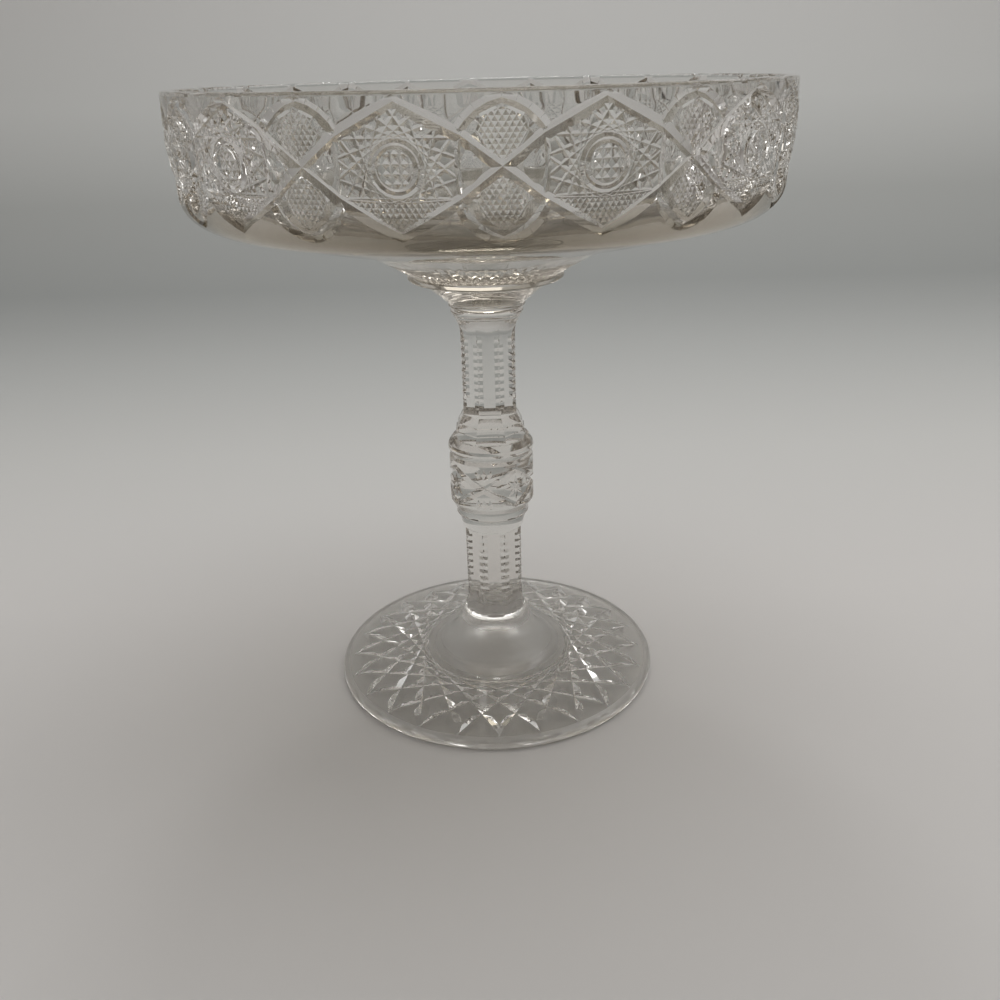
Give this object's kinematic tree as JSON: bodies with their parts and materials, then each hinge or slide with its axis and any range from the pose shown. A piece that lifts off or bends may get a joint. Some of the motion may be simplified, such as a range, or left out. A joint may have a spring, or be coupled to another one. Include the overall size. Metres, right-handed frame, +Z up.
{
  "type": "footed compote bowl",
  "caption": "Footed compote bowl in clear pressed glass: wide shallow bowl with a mitre-cut wall, fluted neck, panelled stem with a cut knop, and a round foot with a star pressed underneath.",
  "frame": {"origin": "centre of the foot's resting ring, on the surface that it stands on", "axes": "+Z up along the stem to the rim; -Y is the side towards the camera in the picture; +X to the right"},
  "size_m": [0.2038, 0.2038, 0.222],
  "materials": {
    "clear_glass": "fire-polished pressed glass with a faint mauve tint",
    "wafer_glass": "fire-polished, worked hot at the join"
  },
  "bodies": {
    "root": {"foot": "clear_glass", "lower_shaft": "clear_glass", "knop": "clear_glass", "upper_shaft": "clear_glass", "wafer": "wafer_glass", "neck": "clear_glass", "bowl": "clear_glass"}
  },
  "joints": []
}
